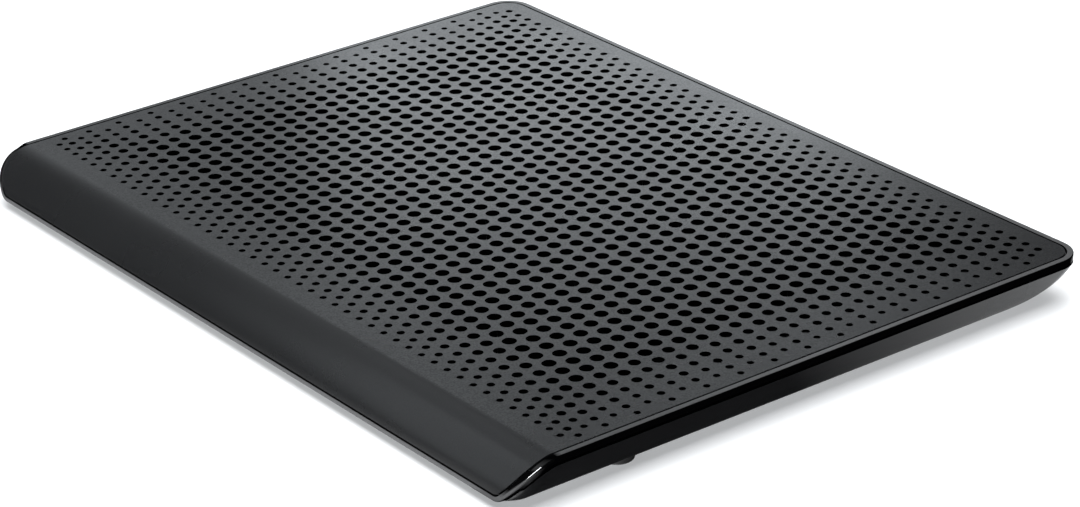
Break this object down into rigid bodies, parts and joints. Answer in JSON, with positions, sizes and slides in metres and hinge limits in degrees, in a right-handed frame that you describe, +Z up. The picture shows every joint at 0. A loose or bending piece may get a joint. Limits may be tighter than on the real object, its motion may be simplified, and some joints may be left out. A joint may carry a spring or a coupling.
{
  "type": "laptop cooling pad",
  "caption": "Low laptop stand with a perforated metal deck that rolls over a rounded front lip, fans below it, rubber feet and fold-out rear legs.",
  "frame": {"origin": "centre of the footprint, on the table", "axes": "+X to the user's right, +Y to the rear, +Z up; the rounded lip faces -Y"},
  "size_m": [0.412, 0.31, 0.0235],
  "materials": {
    "deck_paint": "satin dark grey paint",
    "bezel": "piano black",
    "shell": "semi-matte black",
    "fan_plastic": "matte black",
    "rubber": "matte black",
    "steel": "zinc plated",
    "copper": "wound copper and bronze",
    "magnet": "dark ferrite",
    "board": "black solder mask",
    "cable": "black sleeve"
  },
  "bodies": {
    "pad": {"base_shell": "shell", "bezel_frame": "bezel", "top_sheet": "deck_paint", "intake_grille_left": "shell", "fan_housing_left": "fan_plastic", "fan_stator_left": "copper", "fan_bearing_left": "copper", "fan_screw_left_a": "steel", "fan_screw_left_b": "steel", "fan_cable_left": "cable", "leg_pin_left": "steel", "board_screw_left": "steel", "case_screw_front_left": "steel", "case_screw_middle_left": "steel", "case_screw_rear_left": "steel", "rubber_foot_front_left": "rubber", "rubber_foot_rear_left": "rubber", "intake_grille_right": "shell", "fan_housing_right": "fan_plastic", "fan_stator_right": "copper", "fan_bearing_right": "copper", "fan_screw_right_a": "steel", "fan_screw_right_b": "steel", "fan_cable_right": "cable", "leg_pin_right": "steel", "board_screw_right": "steel", "case_screw_front_right": "steel", "case_screw_middle_right": "steel", "case_screw_rear_right": "steel", "rubber_foot_front_right": "rubber", "rubber_foot_rear_right": "rubber", "control_board": "board", "power_socket": "steel", "switch_body": "fan_plastic"},
    "fan_left": {"fan_impeller_left": "fan_plastic", "fan_magnet_left": "magnet", "fan_shaft_left": "steel"},
    "fan_right": {"fan_impeller_right": "fan_plastic", "fan_magnet_right": "magnet", "fan_shaft_right": "steel"},
    "leg_left": {"rear_leg_left": "shell", "leg_tip_left": "rubber"},
    "leg_right": {"rear_leg_right": "shell", "leg_tip_right": "rubber"},
    "slider": {"switch_slider": "fan_plastic"}
  },
  "joints": [
    {"name": "fan_left_spin", "type": "hinge", "parent": "pad", "child": "fan_left", "pos_m": [-0.095, 0.008, 0.0123], "axis": [0, 0, 1], "continuous": true},
    {"name": "fan_right_spin", "type": "hinge", "parent": "pad", "child": "fan_right", "pos_m": [0.095, 0.008, 0.0123], "axis": [0, 0, 1], "continuous": true},
    {"name": "leg_left_fold", "type": "hinge", "parent": "pad", "child": "leg_left", "pos_m": [-0.14, 0.124, 0.0068], "axis": [1, 0, 0], "range_deg": [0, 105]},
    {"name": "leg_right_fold", "type": "hinge", "parent": "pad", "child": "leg_right", "pos_m": [0.14, 0.124, 0.0068], "axis": [1, 0, 0], "range_deg": [0, 105]},
    {"name": "speed_switch_slide", "type": "slide", "parent": "pad", "child": "slider", "axis": [1, 0, 0], "range_m": [0, 0.004]}
  ]
}
